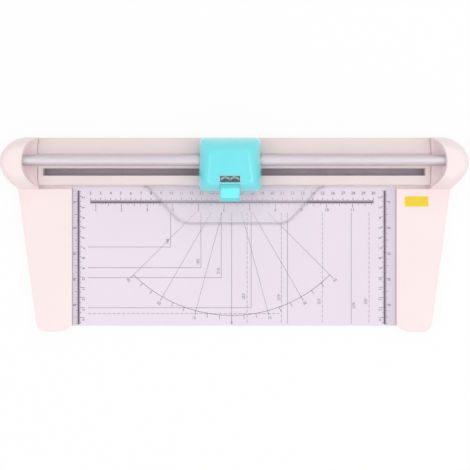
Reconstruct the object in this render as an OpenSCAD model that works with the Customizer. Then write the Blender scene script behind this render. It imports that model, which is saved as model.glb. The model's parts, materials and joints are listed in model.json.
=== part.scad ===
// Rotary paper trimmer: a measuring board between two wings, a clamp beam over its rear,
// and a cutter head that runs along a round rail above the beam.
// X runs along the rail, Y to the rear, Z up. The origin is under the middle of the object.

/* [Overall] */
// Width over the two end housings
overall_w = 458; // [440:1:500]
// Depth from the wings' front edge to the rear
overall_d = 192; // [186:1:230]

/* [Base tray] */
// Gap between the tray and the table, kept by the feet
foot_drop = 1.5; // [1:0.1:3]
// Height of the tray, up to the board's surface
tray_h = 10.5; // [9:0.5:16]
// Thickness of the tray's outer wall
tray_wall = 2.4; // [2:0.1:3]
// Thickness of the tray's floor under the board
tray_floor = 2.2; // [1.8:0.1:3]
// Diameter of the rubber feet
foot_d = 12; // [10:0.5:14]
// How deep a foot sits in the tray
foot_sink = 1; // [0.6:0.1:1.4]
// Diameter of the base screws
screw_d = 3; // [2.5:0.1:3.4]
// Thickness of the ribs underneath
rib_t = 1.6; // [1.2:0.1:2.4]
// Rib cells along the width
rib_columns = 9; // [5:1:12]
// Rib cells along the depth
rib_rows = 4; // [3:1:6]
// Distance from the wings' front edge back to the board's front edge
board_setback = 5.9; // [4:0.1:10]

/* [Board] */
// Width of the printed board between the paper fences
board_w = 320.8; // [310:0.2:326]
// Thickness of the board
board_t = 1.4; // [1:0.1:2]
// Width of the cutting mat
mat_w = 14; // [10:0.5:16]

/* [Wings] */
// Height of the wings above the board
wing_rise = 3; // [2:0.5:5]
// Width of a wing at the rear, as a share of the room beside the board
wing_rear_share = 0.7726; // [0.7:0.0001:0.8]
// Width of a wing at the front, as a share of the room beside the board
wing_front_share = 0.5117; // [0.45:0.0001:0.65]
// Radius of a wing's outer front corner, as a share of its front width
wing_corner_share = 0.285; // [0.15:0.005:0.35]
// Radius of a wing's inner front corner, as a share of its front width
wing_inner_share = 0.4; // [0.15:0.005:0.45]
// Thickness of the skirt that hides the tray's edge
skirt_t = 2.2; // [1.6:0.1:3]
// Height of the wings' rounded upper edge
wing_edge = 0.8; // [0.4:0.1:1.2]
// How deep the base screws bite into the wings
screw_bite = 1.8; // [1:0.1:2]
// Gap between the wings and the clamp beam
wing_gap = 3.5; // [2:0.5:6]

/* [End housings] */
// Width of a housing from its outer side to the beam's end
housing_w = 36; // [34:0.5:40]
// Radius of the domed lobe
lobe_r = 25.5; // [24:0.5:27]
// Height of the lobe above the board
lobe_h = 35; // [33:0.5:42]
// Radius of the scooped recess
recess_r = 30; // [29:0.1:33]
// Depth of the recess beyond the beam's end
recess_depth = 11.5; // [8:0.5:12]
// Height of the recess floor above the board
recess_floor_h = 13; // [11:0.5:15]

/* [Rail] */
// Outer diameter of the rail tube
rail_d = 10.6; // [9:0.1:11]
// Wall of the rail tube
rail_wall = 1.5; // [1:0.1:2.5]
// Distance from the rear edge to the rail's axis
rail_setback = 23.9; // [23:0.1:25]
// Height of the rail's axis above the board
rail_h = 24; // [23:0.5:26]
// Length of the rail held in each housing
rail_seat = 10; // [8:0.5:12]
// Wall of the socket round the rail's end
socket_wall = 2; // [1.5:0.1:2.5]
// Length of the socket
socket_len = 8; // [6:0.5:9]

/* [Clamp beam] */
// Gap for the paper between the board and the raised beam
beam_gap = 2.2; // [1.8:0.1:3]
// Depth of the beam
beam_d = 47; // [46:0.5:48]
// Distance from the rear edge to the cutting line
cut_setback = 38.1; // [37.6:0.1:38.6]
// Width of the blade slot
slot_w = 7.1; // [6.6:0.1:7.4]
// Distance from the slot's end to the beam's end
slot_margin = 5.1; // [4:0.1:10]
// Height of the slot's front edge above the beam's underside
strip_h = 8.3; // [7:0.1:9]
// Height of the beam's front edge
front_h = 4.8; // [4:0.1:6]
// Width of the beam's rounded edges
edge_w = 1.7; // [1:0.1:2.5]
// Height of the lip behind the slot
lip_h = 10; // [9:0.1:10.5]
// Width of the lip
lip_w = 3.5; // [2:0.1:4]
// Height of the shallow trough under the rail
trough_h = 9; // [8:0.1:10]
// Height of the ridge behind the rail
ridge_h = 10.2; // [9:0.1:10.5]
// Distance from the rail's rear side back to the ridge
ridge_gap = 2; // [1:0.1:3]
// Height of the beam's rear wall
rear_h = 2.8; // [2:0.1:4]
// Wall of the beam over its hollow underside
beam_wall = 2.4; // [2:0.1:3]
// Ribs across the hollow underside
beam_ribs = 9; // [5:1:12]
// How far the beam goes down to hold the paper
clamp_travel = 1.6; // [1:0.1:1.6]

/* [Clamp fittings] */
// Diameter of the posts that guide the beam
post_d = 5; // [4:0.5:5.5]
// Distance from the beam's end to a post
post_inset = 10; // [9:0.5:14]
// Diameter of the clamp springs
clamp_spring_d = 9; // [8:0.2:10]
// Wire of the clamp springs
clamp_wire_d = 0.9; // [0.6:0.1:1.1]
// Turns of the clamp springs
clamp_spring_turns = 2; // [2:1:3]
// Width of the rubber grip strip
grip_w = 3.6; // [2.5:0.1:4]
// How far the grip strip stands out of the beam
grip_rise = 0.4; // [0.2:0.1:0.5]
// Depth of the grip strip's groove
grip_seat = 1.2; // [0.8:0.1:1.6]

/* [Clear plate] */
// Half width of the plate at the beam
plate_half = 91; // [70:1:110]
// Half width of the plate's straight front edge
plate_front_half = 44; // [30:1:60]
// Reach of the plate in front of the beam
plate_reach = 37; // [25:0.5:45]
// Thickness of the plate
plate_t = 2; // [1.5:0.1:2.5]
// Width of the strip of plate under the beam
plate_seat = 4.2; // [3.5:0.1:4.5]
// Diameter of the plate's screws
plate_screw_d = 1.8; // [1.4:0.1:2.2]

/* [Runner] */
// Place of the cutter head along the rail, from the middle
head_x = -3.9; // [-100:0.1:100]
// Length of the runner along the rail
runner_len = 47; // [46:0.5:48]
// Outer radius of the runner round the rail
runner_r = 8.4; // [8.2:0.1:8.6]
// Wall of the rail bushes
bush_wall = 1.6; // [1.2:0.1:2]
// Length of the rail bushes
bush_len = 8; // [6:0.5:10]
// Width of the arms that carry the tongues
arm_w = 5; // [4:0.1:5.5]
// Height of the arms above the rail's axis
arm_top = 5; // [4:0.5:5.5]
// Diameter of the lift pins
pin_d = 3.2; // [2.4:0.1:3.6]
// How deep the lift pins sit in the arms
pin_sink = 5; // [4:0.5:8]
// Diameter of the lift springs
lift_spring_d = 4.8; // [4.4:0.1:5]
// Wire of the lift springs
lift_wire_d = 0.5; // [0.4:0.05:0.6]
// Turns of the lift springs
lift_spring_turns = 4; // [3:1:5]
// Width of the guide pad behind the sleeve
pad_w = 23.5; // [12:0.5:26]
// Height of the guide pad
pad_h = 6.5; // [4:0.5:7]
// How far the guide pad stands out of the sleeve
pad_rise = 1.1; // [0.8:0.1:1.4]

/* [Cutter head] */
// Width of the head
head_w = 60.9; // [58:0.1:63]
// Distance from the rear edge to the head's rear
head_setback = 1; // [0.5:0.1:3]
// Depth of the head
head_d = 54.2; // [52:0.1:56]
// Height of the head's lower edge above the board
skirt_h = 15.5; // [15:0.1:17]
// Height of the head's top above the board
head_top_h = 47; // [46.5:0.5:52]
// Wall of the head's cover
cover_wall = 2.1; // [1.8:0.1:2.2]
// How far the head goes down when it is pressed
press_travel = 2.5; // [1.5:0.1:2.5]
// Room round the rail in the cover's sides
rail_room = 2; // [1.8:0.1:2.6]
// Distance from the head's front to the window plate
window_setback = 8.4; // [8:0.1:12]
// Width of the window plate
window_w = 20.1; // [16:0.1:22]
// Depth of the window plate
window_d = 6.9; // [5:0.1:8]
// Thickness of the window plate
window_t = 1.2; // [0.8:0.1:1.4]
// Thickness of the carrier's walls
carrier_wall = 2.1; // [1.8:0.1:2.2]
// Cut corners of the carrier's deck
deck_corner = 4; // [3:0.1:6]
// Diameter of the cover's hinge pin
cover_pin_d = 2.4; // [2:0.1:2.8]
// Wall round the cover's hinge pin
cover_pin_wall = 1; // [0.8:0.1:1.2]

/* [Blade] */
// Diameter of the round blade
blade_d = 28; // [26:0.5:28]
// Thickness of the blade
blade_t = 0.4; // [0.3:0.05:0.6]
// Distance from the cutting line back to the blade
blade_offset = 1; // [0.8:0.1:1.4]
// Diameter of the blade's axle
axle_d = 4; // [3:0.5:4.5]
// Wall of the hub and the washers round the axle
hub_wall = 1.2; // [0.8:0.1:1.3]
// Width of the blade's hub
hub_w = 3; // [2.4:0.1:3]
// Width of the blade cartridge
cartridge_w = 31; // [30:0.5:31.5]
// Thickness of the cartridge's plates
cartridge_wall = 2.4; // [1.8:0.1:2.6]

/* [Release tab] */
// Width of the tab
tab_w = 18.8; // [14:0.1:19]
// Reach of the tab in front of the head
tab_reach = 9.1; // [6:0.1:10]
// Thickness of the tab's thumb lip
lip_t = 3.2; // [2.6:0.1:4]
// How far the lip slopes down to its tip
lip_drop = 3; // [1:0.1:5]
// Distance from the head's top down to the tab's top
tab_top_drop = 1.2; // [1:0.1:2]
// Height of the tab's foot above the head's lower edge
tab_foot_rise = 0.4; // [0.2:0.1:2]
// Distance from the head's front back to the tab's plate
tab_setback = 3.7; // [3.5:0.1:3.9]
// How far the tab's plate leans back
tab_lean = 2.3; // [2:0.1:2.8]
// Half the thickness of the tab's plate at its foot
tab_t = 1.5; // [1.2:0.1:1.6]
// Wall between the tab's notch and the window plate
notch_wall = 1.6; // [1:0.1:2.5]
// Diameter of the tab's pin
tab_pin_d = 2.4; // [2:0.1:2.5]
// Width of the tab's knuckles
knuckle_w = 4.7; // [3:0.1:6]
// Wire of the tab's spring
tab_wire_d = 0.5; // [0.4:0.05:0.6]
// Turns of the tab's spring
tab_spring_turns = 7; // [5:1:9]

/* [Fits] */
// Radial clearance of a running fit
run_fit = 0.05; // [0.02:0.01:0.1]
// Gap between pieces that slide past each other
slide_gap = 0.3; // [0.2:0.05:0.4]
// Gap round pieces that are laid in or pushed on
seat_gap = 0.2; // [0.1:0.05:0.3]
// Gap at the seams between the beam and the housings
seam_gap = 0.4; // [0.3:0.1:0.8]

/* [Hidden] */

// Overrun of cuts past the faces that they open
over = 1;
fine = 96;
medium = 48;

// The tray lies inside the skirts of the wings and housings
tray_inset = skirt_t + seat_gap;
skirt_foot_z = 2 * foot_drop;

// Levels
deck_z = foot_drop + tray_h;
beam_z = deck_z + beam_gap;
rail_z = deck_z + rail_h;
skirt_z = deck_z + skirt_h;

// Places along the depth
rear_y = overall_d / 2;
front_y = -overall_d / 2;
rail_y = rear_y - rail_setback;
cut_y = rear_y - cut_setback;
slot_rear_y = cut_y + slot_w;
tray_rear_y = rear_y - tray_inset;
beam_rear_y = rear_y - seam_gap;
beam_front_y = beam_rear_y - beam_d;
wing_rear_y = beam_front_y - wing_gap;
board_front_y = front_y + board_setback;
head_rear_y = rear_y - head_setback;
head_front_y = head_rear_y - head_d;

// Places along the width
seam_x = overall_w / 2 - housing_w;
beam_half = seam_x - seam_gap;
slot_half = beam_half - slot_margin;
lobe_x = overall_w / 2 - lobe_r;
lobe_y = rear_y - lobe_r;
recess_apex_x = seam_x + recess_depth;
rail_half = recess_apex_x + rail_seat;
post_x = beam_half - post_inset;
wing_room = (overall_w - board_w) / 2;
wing_rear_half = board_w / 2 + wing_rear_share * wing_room;
wing_front_half = board_w / 2 + wing_front_share * wing_room;
wing_corner_r = wing_corner_share * wing_front_share * wing_room;
wing_inner_r = wing_inner_share * wing_front_share * wing_room;

// Feet and base screws
foot_inset = foot_d + tray_inset;
screw_head_d = 2 * screw_d;
screw_head_h = 2 * screw_d / 3;
screw_seat_z = foot_drop + tray_floor;
boss_r = screw_head_d / 2 + rib_t;

// Mat, lip, trough, ridge and clamp posts
slot_mid_y = (cut_y + slot_rear_y) / 2;
mat_front_y = slot_mid_y - mat_w / 2;
trough_y = slot_rear_y + lip_w;
ridge_y = rail_y + rail_d / 2 + ridge_gap;
post_y = (trough_y + ridge_y) / 2;
post_sink = tray_h / 2;
clamp_seat_z = beam_z + clamp_travel + 2 * clamp_wire_d;
bore_top_z = beam_z + trough_h - beam_wall;

function arc(centre, r, from, to, steps) =
    [for (i = [0:steps]) centre + r * [cos(from + (to - from) * i / steps),
                                       sin(from + (to - from) * i / steps)]];

module mirrored() {
    mirror([1, 0, 0]) children();
}

// Outline of a wing, drawn in from its edge by the inset
module wing_outline(inset) {
    outer_r = wing_corner_r - min(inset, wing_corner_r / 2);
    inner_y = front_y + inset + wing_inner_r;
    polygon(concat(
        [[wing_rear_half - inset, wing_rear_y]],
        [[0, wing_rear_y]],
        [[0, board_front_y]],
        arc([board_w / 2 + wing_inner_r, inner_y], wing_inner_r,
            180 - asin((board_front_y - inner_y) / wing_inner_r), 270, 6),
        arc([wing_front_half - inset - outer_r, front_y + inset + outer_r], outer_r, 270, 352, 8)
    ));
}

// Outline of an end housing, drawn in from its edge by the inset
module housing_outline(inset) {
    r = lobe_r - inset;
    corner = [lobe_x + r * cos(45), lobe_y - r * sin(45)];
    translate([lobe_x, lobe_y]) circle(r = r, $fn = fine);
    polygon([
        [0, wing_rear_y - over], [wing_rear_half - inset, wing_rear_y - over],
        [wing_rear_half - inset, wing_rear_y], corner,
        [lobe_x, lobe_y], [lobe_x, rear_y - inset], [0, rear_y - inset]
    ]);
}

module tray_outline(inset) {
    for (side = [0, 1]) mirror([side, 0]) {
        wing_outline(inset);
        housing_outline(inset);
    }
}

// Places of the screws that hold the wings and housings, on the right side
wing_screw_x = (board_w / 2 + wing_front_half) / 2;
wing_screws = [[wing_screw_x, front_y / 2 - foot_d], [wing_screw_x, wing_rear_y / 3]];
housing_screws = [[lobe_x, lobe_y - lobe_r / 2], [lobe_x, lobe_y + lobe_r / 2]];
screw_places = concat(wing_screws, housing_screws);
foot_places = [
    [wing_screw_x, front_y + foot_inset], [lobe_x, lobe_y]
];

module at_screws() {
    for (side = [0, 1]) mirror([side, 0, 0])
        for (place = screw_places) translate(place) children();
}

module at_feet() {
    for (side = [0, 1]) mirror([side, 0, 0])
        for (place = foot_places) translate(place) children();
    translate([0, board_front_y + foot_inset]) children();
    translate([0, tray_rear_y - foot_inset]) children();
}

module at_posts() {
    for (side = [-1, 1]) translate([side * post_x, post_y]) children();
}

module tray_pockets() {
    pocket_h = tray_h - board_t - tray_floor;
    span_x = 2 * (wing_front_half - tray_inset - tray_wall);
    span_y = tray_rear_y - tray_wall - (board_front_y + tray_wall);
    step_x = (span_x + rib_t) / rib_columns;
    step_y = (span_y + rib_t) / rib_rows;
    difference() {
        for (i = [0:rib_columns - 1], j = [0:rib_rows - 1])
            translate([-span_x / 2 + i * step_x, board_front_y + tray_wall + j * step_y, foot_drop - over])
                cube([step_x - rib_t, step_y - rib_t, pocket_h + over]);
        at_feet() cylinder(r = foot_d / 2 + rib_t, h = deck_z, $fn = medium);
        at_screws() cylinder(r = boss_r, h = deck_z, $fn = medium);
        at_posts() cylinder(r = boss_r, h = deck_z, $fn = medium);
    }
}

module base_tray() {
    color([0.96, 0.92, 0.91]) difference() {
        translate([0, 0, foot_drop]) linear_extrude(tray_h) tray_outline(tray_inset);
        // seat of the printed board, open at the front
        translate([-board_w / 2, board_front_y - board_setback, deck_z - board_t])
            cube([board_w, mat_front_y - board_front_y + board_setback + over, board_t + over]);
        // seat of the mat
        translate([-slot_half, mat_front_y, deck_z - board_t])
            cube([2 * slot_half, mat_w, board_t + over]);
        tray_pockets();
        at_feet() translate([0, 0, foot_drop - over])
            cylinder(r = foot_d / 2, h = foot_sink + over, $fn = medium);
        at_screws() {
            cylinder(r = screw_d / 2, h = deck_z + over, $fn = medium);
            cylinder(r = screw_head_d / 2 + seat_gap, h = screw_seat_z, $fn = medium);
        }
        at_posts() translate([0, 0, deck_z - post_sink])
            cylinder(d = post_d, h = post_sink + over, $fn = medium);
    }
}

module board_panel() {
    color([0.93, 0.89, 0.94])
        translate([-board_w / 2 + seat_gap, board_front_y, deck_z - board_t])
            cube([board_w - 2 * seat_gap, mat_front_y - board_front_y, board_t]);
}

module cutting_mat() {
    color([0.45, 0.42, 0.46])
        translate([-slot_half + seat_gap, mat_front_y + seat_gap, deck_z - board_t])
            cube([2 * slot_half - 2 * seat_gap, mat_w - 2 * seat_gap, board_t]);
}

// A wing: a plate on the tray with a skirt outside it; the right one is drawn
module wing() {
    color([0.98, 0.93, 0.93]) difference() {
        union() {
            translate([0, 0, skirt_foot_z])
                linear_extrude(deck_z + wing_rise - skirt_foot_z - wing_edge) wing_outline(0);
            translate([0, 0, skirt_foot_z])
                linear_extrude(deck_z + wing_rise - skirt_foot_z) wing_outline(wing_edge);
        }
        // the board's room, inside the paper fence
        translate([-over, front_y - over, foot_drop])
            cube([board_w / 2 + over, overall_d, tray_h + wing_rise + over]);
        // the tray's room under the plate
        translate([0, 0, foot_drop - over])
            linear_extrude(tray_h + over) wing_outline(tray_inset - seat_gap);
        for (place = wing_screws) translate(place)
            cylinder(r = screw_d / 2, h = deck_z + screw_bite, $fn = medium);
    }
}

module left_wing() { mirrored() wing(); }
module right_wing() { wing(); }

// Closed solid through rings of equal point counts, listed from the lowest up
module loft(rings) {
    n = len(rings[0]);
    last = len(rings) - 1;
    skin = [for (k = [0:last - 1], i = [0:n - 1])
        let (a = k * n + i, b = k * n + (i + 1) % n)
        each [[a, a + n, b + n], [a, b + n, b]]];
    polyhedron(
        points = [for (ring = rings) each ring],
        faces = concat([[for (i = [0:n - 1]) i]], skin, [[for (i = [n - 1:-1:0]) last * n + i]]),
        convexity = 6);
}

// An end housing, lofted through rings from its skirt to its low crown.
// Each ring: share of the height over the wings, then how far its side, rear and front
// lie inside the lowest ring as shares of the lobe's radius
housing_ring_shares = [
    [0.00, 0.000, 0.000, 0.000], [0.16, 0.006, 0.014, 0.012], [0.32, 0.016, 0.044, 0.034],
    [0.47, 0.032, 0.092, 0.070], [0.61, 0.056, 0.152, 0.120], [0.73, 0.090, 0.216, 0.178],
    [0.83, 0.134, 0.284, 0.242], [0.91, 0.190, 0.354, 0.310], [0.965, 0.262, 0.430, 0.386],
    [0.99, 0.350, 0.512, 0.470], [1.00, 0.480, 0.620, 0.590]
];
lobe_steps = 18;

function housing_ring(side, rear, front, z) = concat(
    [[seam_x, wing_rear_y + front, z],
     [lobe_x + (wing_rear_half - lobe_x) * (1 - side / lobe_r), wing_rear_y + front, z]],
    [for (i = [0:lobe_steps])
        let (a = -45 + 135 * i / lobe_steps)
        [lobe_x + (lobe_r - side) * cos(a), lobe_y + (lobe_r - (a > 0 ? rear : front)) * sin(a), z]],
    [[seam_x, rear_y - rear, z]]);

module end_housing() {
    wing_z = deck_z + wing_rise;
    rings = concat([housing_ring(0, 0, 0, skirt_foot_z)], [for (s = housing_ring_shares)
        housing_ring(s[1] * lobe_r, s[2] * lobe_r, s[3] * lobe_r, wing_z + s[0] * (lobe_h - wing_rise))]);
    color([0.98, 0.93, 0.92]) difference() {
        loft(rings);
        // the scooped recess
        translate([recess_apex_x - recess_r, lobe_y, deck_z + recess_floor_h])
            cylinder(r = recess_r, h = lobe_h, $fn = fine);
        // the tray's room
        translate([0, 0, foot_drop - over])
            linear_extrude(tray_h + over) housing_outline(tray_inset - seat_gap);
        // the rail's bore and the socket's seat
        translate([seam_x, rail_y, rail_z]) rotate([0, 90, 0])
            cylinder(r = rail_d / 2 + seat_gap, h = recess_depth + rail_seat, $fn = fine);
        translate([socket_x, rail_y, rail_z]) rotate([0, 90, 0])
            cylinder(r = rail_d / 2 + socket_wall, h = socket_len, $fn = fine);
        for (place = housing_screws) translate(place)
            cylinder(r = screw_d / 2, h = deck_z + 2 * screw_bite, $fn = medium);
    }
}

socket_x = recess_apex_x + socket_wall;

module left_end_housing() { mirrored() end_housing(); }
module right_end_housing() { end_housing(); }

module guide_rail() {
    color([0.82, 0.81, 0.84]) translate([-rail_half, rail_y, rail_z]) rotate([0, 90, 0])
        difference() {
            cylinder(r = rail_d / 2, h = 2 * rail_half, $fn = fine);
            translate([0, 0, -over])
                cylinder(r = rail_d / 2 - rail_wall, h = 2 * rail_half + 2 * over, $fn = medium);
        }
}

module rail_socket() {
    color([0.3, 0.3, 0.32]) translate([socket_x, rail_y, rail_z]) rotate([0, 90, 0])
        difference() {
            cylinder(r = rail_d / 2 + socket_wall, h = socket_len, $fn = fine);
            translate([0, 0, -over])
                cylinder(r = rail_d / 2, h = socket_len + 2 * over, $fn = fine);
        }
}

module left_rail_socket() { mirrored() rail_socket(); }
module right_rail_socket() { rail_socket(); }

// A screw with its head down, seen from its seat upwards
module base_screw(length) {
    translate([0, 0, screw_seat_z - screw_head_h]) cylinder(d = screw_head_d, h = screw_head_h, $fn = medium);
    translate([0, 0, screw_seat_z]) cylinder(d = screw_d, h = length, $fn = medium);
}

module base_screws() {
    color([0.7, 0.7, 0.72]) at_screws()
        base_screw(deck_z + screw_bite - screw_seat_z - seat_gap);
}

module foot(place) {
    color([0.2, 0.2, 0.2]) translate([place.x, place.y, 0]) {
        cylinder(d1 = foot_d - foot_drop, d2 = foot_d, h = foot_drop, $fn = medium);
        translate([0, 0, foot_drop]) cylinder(d = foot_d, h = foot_sink, $fn = medium);
    }
}

function other_side(place) = [-place.x, place.y];

module front_left_foot() { foot(other_side(foot_places[0])); }
module front_middle_foot() { foot([0, board_front_y + foot_inset]); }
module front_right_foot() { foot(foot_places[0]); }
module rear_left_foot() { foot(other_side(foot_places[1])); }
module rear_middle_foot() { foot([0, tray_rear_y - foot_inset]); }
module rear_right_foot() { foot(foot_places[1]); }

// Clamp: posts, springs and the beam that they carry; the posts end short of their bores
module clamp_post() {
    post_top_z = bore_top_z - clamp_travel - slide_gap;
    color([0.6, 0.6, 0.63]) translate([post_x, post_y, deck_z - post_sink])
        cylinder(d = post_d, h = post_top_z - deck_z + post_sink, $fn = medium);
}

module left_clamp_post() { mirrored() clamp_post(); }
module right_clamp_post() { clamp_post(); }

// Unbroken wire coil that stands on z = 0, with flat turns at its ends
module coil(outer_d, wire_d, turns, height, ring_count = 12, sides = 6) {
    r = (outer_d - wire_d) / 2;
    rise = height - wire_d;
    count = turns * ring_count;
    points = [for (i = [0:count])
        let (a = 360 * i / ring_count)
        for (j = [0:sides - 1])
            let (b = 360 * j / sides, q = r + wire_d / 2 * cos(b))
            [q * cos(a), q * sin(a), wire_d / 2 + rise * i / count + wire_d / 2 * sin(b)]];
    skin = [for (i = [0:count - 1], j = [0:sides - 1])
        let (k = i * sides + j, l = i * sides + (j + 1) % sides)
        each [[k, l, l + sides], [k, l + sides, k + sides]]];
    caps = [[for (j = [sides - 1:-1:0]) j], [for (j = [0:sides - 1]) count * sides + j]];
    polyhedron(points = points, faces = concat(skin, caps), convexity = 8);
}

module clamp_spring() {
    color([0.7, 0.7, 0.73]) translate([post_x, post_y, deck_z])
        coil(clamp_spring_d, clamp_wire_d, clamp_spring_turns, clamp_seat_z - deck_z);
}

module left_clamp_spring() { mirrored() clamp_spring(); }
module right_clamp_spring() { clamp_spring(); }

// Outline of the beam seen from its end, as Y and Z above the underside
module beam_section() {
    polygon([
        [beam_front_y, 0], [beam_front_y, front_h - edge_w],
        [beam_front_y + edge_w / 3, front_h - edge_w / 3], [beam_front_y + edge_w, front_h + edge_w / 3],
        [cut_y, strip_h],
        [slot_rear_y, lip_h - edge_w], [slot_rear_y + edge_w / 3, lip_h - edge_w / 3],
        [slot_rear_y + edge_w, lip_h], [trough_y, lip_h],
        [trough_y + edge_w, trough_h], [rail_y + rail_d / 2, trough_h],
        [ridge_y, ridge_h], [ridge_y + edge_w, ridge_h - edge_w / 4],
        [beam_rear_y - edge_w / 3, rear_h], [beam_rear_y, rear_h - edge_w / 3],
        [beam_rear_y, 0]
    ]);
}

// Hollow underside of the beam, behind its clamping edge
module beam_hollow_section() {
    rear = beam_rear_y - beam_wall;
    polygon([
        [trough_y, -over], [trough_y, trough_h - beam_wall], [ridge_y, trough_h - beam_wall],
        [rear, rear_h - edge_w], [rear, -over]
    ]);
}

module along_x(length) {
    rotate([90, 0, 90]) linear_extrude(length) children();
}

module clamp_beam() {
    bay = (2 * beam_half - beam_wall) / (beam_ribs + 1);
    color([0.93, 0.87, 0.87]) difference() {
        union() {
            difference() {
                translate([-beam_half, 0, beam_z]) along_x(2 * beam_half) beam_section();
                for (i = [0:beam_ribs])
                    translate([-beam_half + beam_wall + i * bay, 0, beam_z])
                        along_x(bay - beam_wall) beam_hollow_section();
            }
            at_posts() translate([0, 0, clamp_seat_z])
                cylinder(d = clamp_spring_d, h = bore_top_z - clamp_seat_z + beam_wall / 2, $fn = medium);
        }
        translate([-slot_half, cut_y, beam_z - over])
            cube([2 * slot_half, slot_w, lip_h + 2 * over]);
        at_posts() cylinder(r = post_d / 2 + run_fit, h = bore_top_z, $fn = medium);
        // seats of the clear plate and of the rubber strip
        translate([-plate_half - seat_gap, beam_front_y - over, beam_z - over])
            cube([2 * (plate_half + seat_gap), plate_seat + seat_gap + over, plate_t + over]);
        translate([-slot_half, cut_y - grip_w, beam_z - over])
            cube([2 * slot_half, grip_w - grip_edge, grip_seat + over]);
        at_plate_screws() cylinder(d = plate_screw_d, h = screw_len, $fn = medium);
    }
}

grip_edge = grip_w / 6;
screw_len = plate_t + plate_screw_d;

module grip_strip() {
    color([0.25, 0.25, 0.26])
        translate([-slot_half + seat_gap, cut_y - grip_w + seat_gap / 2, beam_z - grip_rise])
            cube([2 * (slot_half - seat_gap), grip_w - grip_edge - seat_gap, grip_rise + grip_seat]);
}

module at_plate_screws() {
    for (share = [-0.8, -0.3, 0.3, 0.8])
        translate([share * plate_half, beam_front_y + plate_seat / 2, beam_z]) children();
}

// Clear plate: flared at the beam, straight slanted sides, rounded front corners
module clear_plate() {
    flare_r = plate_reach / 3;
    corner_r = plate_reach / 2;
    across = plate_half - plate_front_half;
    along = plate_reach - corner_r - flare_r;
    slant = acos((corner_r + flare_r) / norm([across, along])) - atan2(along, across);
    front = beam_front_y - plate_reach;
    corner = [plate_front_half, front + corner_r];
    half = concat(
        arc(corner, corner_r, 270, 360 - slant, 6),
        arc([plate_half, beam_front_y - flare_r], flare_r, 180 - slant, 90, 5)
    );
    color([0.85, 0.88, 0.9, 0.4]) difference() {
        translate([0, 0, beam_z]) linear_extrude(plate_t) union() {
            polygon(concat(half, [for (i = [len(half) - 1:-1:0]) [-half[i].x, half[i].y]]));
            translate([-plate_half, beam_front_y]) square([2 * plate_half, plate_seat]);
        }
        at_plate_screws() translate([0, 0, -over])
            cylinder(d = plate_screw_d, h = plate_t + 2 * over, $fn = medium);
        at_plate_screws() translate([0, 0, -over])
            cylinder(d = 2 * plate_screw_d, h = plate_t / 2 + over, $fn = medium);
    }
}

module plate_screws() {
    color([0.7, 0.7, 0.72]) at_plate_screws() {
        cylinder(d = 2 * plate_screw_d, h = plate_t / 2, $fn = medium);
        cylinder(d = plate_screw_d, h = screw_len, $fn = medium);
    }
}

// Runner: a sleeve round the rail with arms in front, whose tongues stand in the slot
arm_x = runner_len / 2 - arm_w;
arm_z = rail_z + arm_top;
pin_y = slot_mid_y;
// the carrier's deck clears the sleeve when the head is pressed
carrier_z = rail_z + runner_r + press_travel + slide_gap;

module at_runner(x) {
    translate([head_x + x, rail_y, rail_z]) rotate([0, 90, 0]) children();
}

module runner_block() {
    tongue_y = cut_y + slide_gap;
    tongue_z = beam_z + slide_gap;
    color([0.9, 0.9, 0.92]) difference() {
        union() {
            at_runner(-runner_len / 2) cylinder(r = runner_r, h = runner_len, $fn = fine);
            for (x = [-runner_len / 2, arm_x]) translate([head_x + x, 0, 0]) {
                translate([0, tongue_y, beam_z + lip_h + press_travel])
                    cube([arm_w, rail_y - tongue_y, arm_z - beam_z - lip_h - press_travel]);
                translate([0, tongue_y, tongue_z])
                    cube([arm_w, slot_w - 2 * slide_gap, arm_z - tongue_z]);
            }
            // flat guide pad on the rear of the sleeve
            translate([head_x - pad_w / 2, rail_y, pad_z])
                cube([pad_w, runner_r + pad_rise, pad_h]);
        }
        at_runner(-runner_len / 2 - over)
            cylinder(r = rail_d / 2 + bush_wall / 2, h = runner_len + 2 * over, $fn = fine);
        for (x = [-runner_len / 2 - over, runner_len / 2 - bush_len])
            at_runner(x) cylinder(r = rail_d / 2 + run_fit + bush_wall, h = bush_len + over, $fn = fine);
        at_pins() translate([0, 0, arm_z - pin_sink])
            cylinder(d = pin_d, h = pin_sink + over, $fn = medium);
    }
}

// the pad stays behind the carrier's rear wall through the travel
pad_z = rail_z - arm_top;
pin_top_z = carrier_z + 2 * carrier_wall / 3;

module at_pins() {
    for (side = [-1, 1])
        translate([head_x + side * (runner_len / 2 - arm_w / 2), pin_y, 0]) children();
}

module rail_bush(x) {
    color([0.35, 0.36, 0.38]) at_runner(x) difference() {
        cylinder(r = rail_d / 2 + run_fit + bush_wall, h = bush_len, $fn = fine);
        translate([0, 0, -over])
            cylinder(r = rail_d / 2 + run_fit, h = bush_len + 2 * over, $fn = fine);
    }
}

module left_rail_bush() { rail_bush(-runner_len / 2); }
module right_rail_bush() { rail_bush(runner_len / 2 - bush_len); }

module lift_pins() {
    color([0.7, 0.7, 0.73]) at_pins() translate([0, 0, arm_z - pin_sink])
        cylinder(d = pin_d, h = pin_sink + pin_top_z - arm_z, $fn = medium);
}

module lift_springs() {
    color([0.6, 0.6, 0.63]) at_pins() translate([0, 0, arm_z])
        coil(lift_spring_d, lift_wire_d, lift_spring_turns, carrier_z - arm_z);
}

// Head carrier: an arched plate over the runner's sleeve, guided by the pins and the rear pad
carrier_front_y = cut_y - 2 * cartridge_wall - 3 * slide_gap - carrier_wall;
carrier_half = runner_len / 2;
arch_half = arm_x - slide_gap;
bar_y = rail_y + runner_r + pad_rise + slide_gap;
bar_top_z = rail_z + arm_top;
wall_z = rail_z - rail_d / 2;
lug_x = arch_half - carrier_wall;

// Hinge of the cover, just inside its rear wall
cover_pin_r = cover_pin_d / 2 + cover_pin_wall;
cover_pin_y = head_rear_y - cover_wall - cover_pin_r - cover_pin_wall;
cover_pin_z = wall_z + cover_pin_d / 2;

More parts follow.
